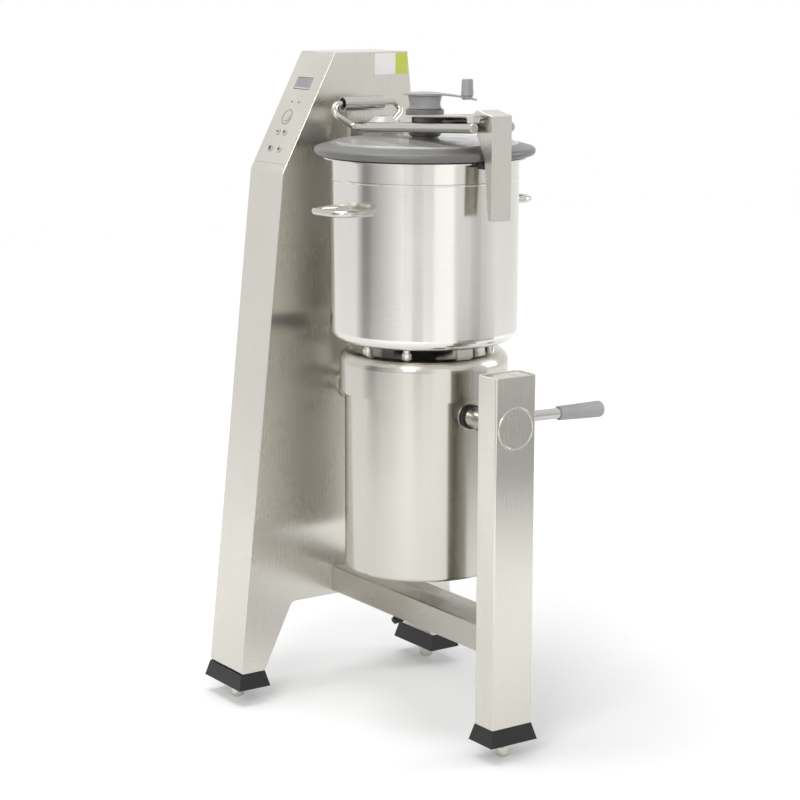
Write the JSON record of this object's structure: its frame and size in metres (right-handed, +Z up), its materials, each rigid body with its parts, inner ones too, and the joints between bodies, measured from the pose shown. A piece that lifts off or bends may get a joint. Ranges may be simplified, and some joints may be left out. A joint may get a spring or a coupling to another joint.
{
  "type": "vertical cutter mixer",
  "caption": "Floor-standing tilting vertical cutter mixer with a stainless bowl, clear lid, lid wiper crank, tilt lever and a control column.",
  "frame": {"origin": "bottom_center", "axes": "+Z up, +X from the column to the post, -Y towards the user"},
  "size_m": [0.6634, 0.5283, 1.25],
  "materials": {
    "stainless": "satin brushed",
    "polished": "fine brushed, near polished",
    "blade_steel": "ground",
    "iron": "machined",
    "bronze": "machined",
    "black_rubber": "matt",
    "black_plastic": "moulded",
    "grip_grey": "moulded",
    "crank_grey": "moulded",
    "lid_grey": "moulded",
    "wiper_plastic": "moulded",
    "clear_lid": "clear polycarbonate",
    "panel_grey": "membrane",
    "display_dark": "gloss",
    "lamp_green": "gloss",
    "button_green": "gloss",
    "button_red": "gloss",
    "board_green": "solder resist"
  },
  "bodies": {
    "frame": {"column_shell": "stainless", "column_cover": "stainless", "cover_screws": "stainless", "control_panel": "panel_grey", "display_window": "display_dark", "indicator_lamps": "lamp_green", "control_board": "board_green", "cable_gland": "black_plastic", "cross_beam": "stainless", "post": "stainless", "post_cap": "stainless", "pivot_cap": "stainless", "pivot_bushes": "bronze", "feet": "black_rubber", "levelling_pads": "stainless"},
    "key_pulse": {"button_pulse": "panel_grey"},
    "key_plus": {"button_plus": "panel_grey"},
    "key_minus": {"button_minus": "panel_grey"},
    "key_start": {"button_start": "button_green"},
    "key_stop": {"button_stop": "button_red"},
    "tilting_body": {"motor_drum": "polished", "drum_cap": "polished", "motor_stator": "iron", "motor_end_shields": "iron", "motor_bearings": "stainless", "trunnions": "stainless", "trunnion_seal": "black_rubber", "lever_rod": "polished", "lever_grip": "grip_grey", "support_studs": "stainless", "shaft_seal": "black_rubber", "bowl": "polished", "bowl_rim": "polished", "bowl_gasket": "black_rubber", "bowl_handle_front": "polished", "bowl_handle_rear": "polished", "lid_support_post": "stainless", "hinge_sleeve": "polished", "hinge_bushes": "black_plastic"},
    "rotor": {"motor_rotor": "stainless", "blade_hub": "stainless", "blade_lower": "blade_steel", "blade_middle": "blade_steel", "blade_upper": "blade_steel"},
    "lid_arm": {"hinge_rod": "polished", "arm_tubes": "polished", "arm_cover": "stainless", "clamp_yoke": "stainless", "clamp_pin": "stainless", "lid_ring": "lid_grey", "lid_dome": "clear_lid", "lid_hopper": "clear_lid", "wiper_housing": "lid_grey"},
    "clamp": {"clamp_lever": "stainless", "clamp_pad": "black_rubber"},
    "wiper": {"crank": "crank_grey", "wiper_shaft": "stainless", "wiper_blade": "wiper_plastic"},
    "knob": {"crank_knob": "crank_grey"}
  },
  "joints": [
    {"name": "tilt", "type": "hinge", "parent": "frame", "child": "tilting_body", "pos_m": [0, 0, 0.612], "axis": [1, 0, 0], "range_deg": [0, 110]},
    {"name": "blade_spin", "type": "hinge", "parent": "tilting_body", "child": "rotor", "pos_m": [0.043, 0, 0.75], "axis": [0, 0, 1], "continuous": true},
    {"name": "lid_arm_hinge", "type": "hinge", "parent": "tilting_body", "child": "lid_arm", "pos_m": [-0.15, 0, 1.157], "axis": [0, -1, 0], "range_deg": [0, 95]},
    {"name": "clamp_hinge", "type": "hinge", "parent": "lid_arm", "child": "clamp", "pos_m": [0.234, 0, 1.148], "axis": [0, -1, 0], "range_deg": [0, 75]},
    {"name": "wiper_spin", "type": "hinge", "parent": "lid_arm", "child": "wiper", "pos_m": [0.043, 0, 1.15], "axis": [0, 0, 1], "continuous": true},
    {"name": "crank_knob_spin", "type": "hinge", "parent": "wiper", "child": "knob", "pos_m": [0.08688, 0.06267, 1.19], "axis": [0, 0, 1], "continuous": true},
    {"name": "press_pulse", "type": "slide", "parent": "frame", "child": "key_pulse", "axis": [0, 0.8838, -0.4679], "range_m": [0, 0.0015], "stiffness_N_per_m": 800},
    {"name": "press_plus", "type": "slide", "parent": "frame", "child": "key_plus", "axis": [0, 0.8838, -0.4679], "range_m": [0, 0.0015], "stiffness_N_per_m": 800},
    {"name": "press_minus", "type": "slide", "parent": "frame", "child": "key_minus", "axis": [0, 0.8838, -0.4679], "range_m": [0, 0.0015], "stiffness_N_per_m": 800},
    {"name": "press_start", "type": "slide", "parent": "frame", "child": "key_start", "axis": [0, 0.8838, -0.4679], "range_m": [0, 0.0015], "stiffness_N_per_m": 800},
    {"name": "press_stop", "type": "slide", "parent": "frame", "child": "key_stop", "axis": [0, 0.8838, -0.4679], "range_m": [0, 0.0015], "stiffness_N_per_m": 800}
  ]
}
